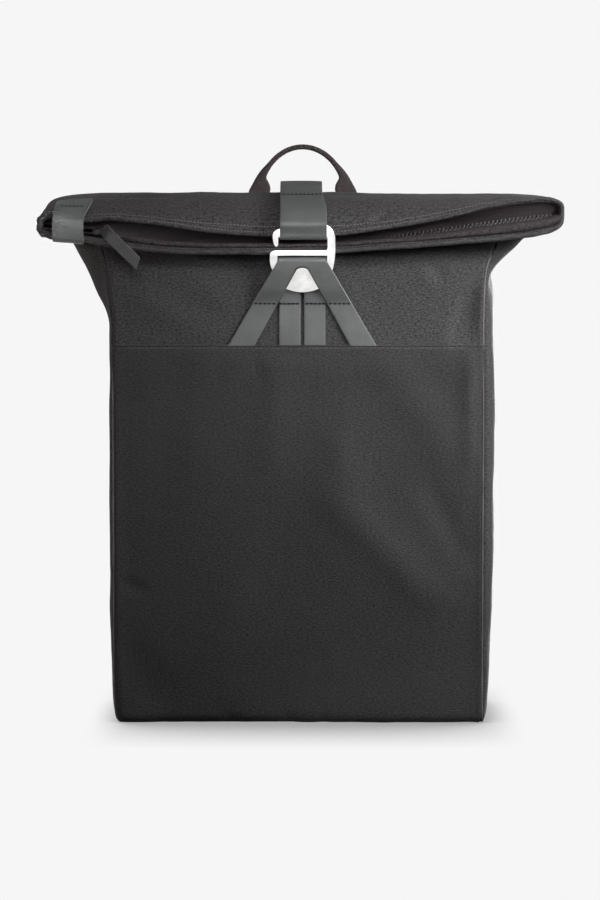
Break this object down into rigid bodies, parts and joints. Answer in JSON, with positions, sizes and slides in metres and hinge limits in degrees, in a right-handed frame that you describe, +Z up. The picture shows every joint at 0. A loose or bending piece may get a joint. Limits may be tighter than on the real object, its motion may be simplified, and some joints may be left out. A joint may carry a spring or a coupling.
{
  "type": "laptop backpack",
  "caption": "Roll-top laptop backpack of dark canvas, folded forward and held shut by a leather strap on a flat metal hook, with a grab handle and shoulder straps.",
  "frame": {"origin": "middle of the base, on the surface that the bag stands on", "axes": "+Z up; the front with the hook faces -Y; +X to the right of someone looking at the front"},
  "size_m": [0.413, 0.1931, 0.4597],
  "materials": {
    "canvas": "matt coated weave",
    "leather": "smooth, matt",
    "hook_metal": "polished nickel",
    "zip_tape": "matt",
    "zip_teeth": "satin",
    "webbing": "matt ribbed",
    "buckle_plastic": "satin"
  },
  "bodies": {
    "root": {"base_panel": "canvas", "front_panel_lower": "canvas", "front_panel_upper": "canvas", "back_panel": "canvas", "side_panel_left": "canvas", "side_panel_right": "canvas", "roll_top": "canvas", "shoulder_strap_left": "canvas", "shoulder_strap_right": "canvas", "zip_pull": "leather", "end_tab": "leather", "closure_strap": "leather", "hook_tab": "leather", "hook": "hook_metal", "zip_tape_upper": "zip_tape", "zip_tape_lower": "zip_tape", "zip_teeth": "zip_teeth", "zip_slider": "zip_teeth", "handle": "webbing", "strap_webbing_left": "webbing", "strap_webbing_right": "webbing", "strap_adjuster_left": "buckle_plastic", "strap_adjuster_right": "buckle_plastic"}
  },
  "joints": []
}
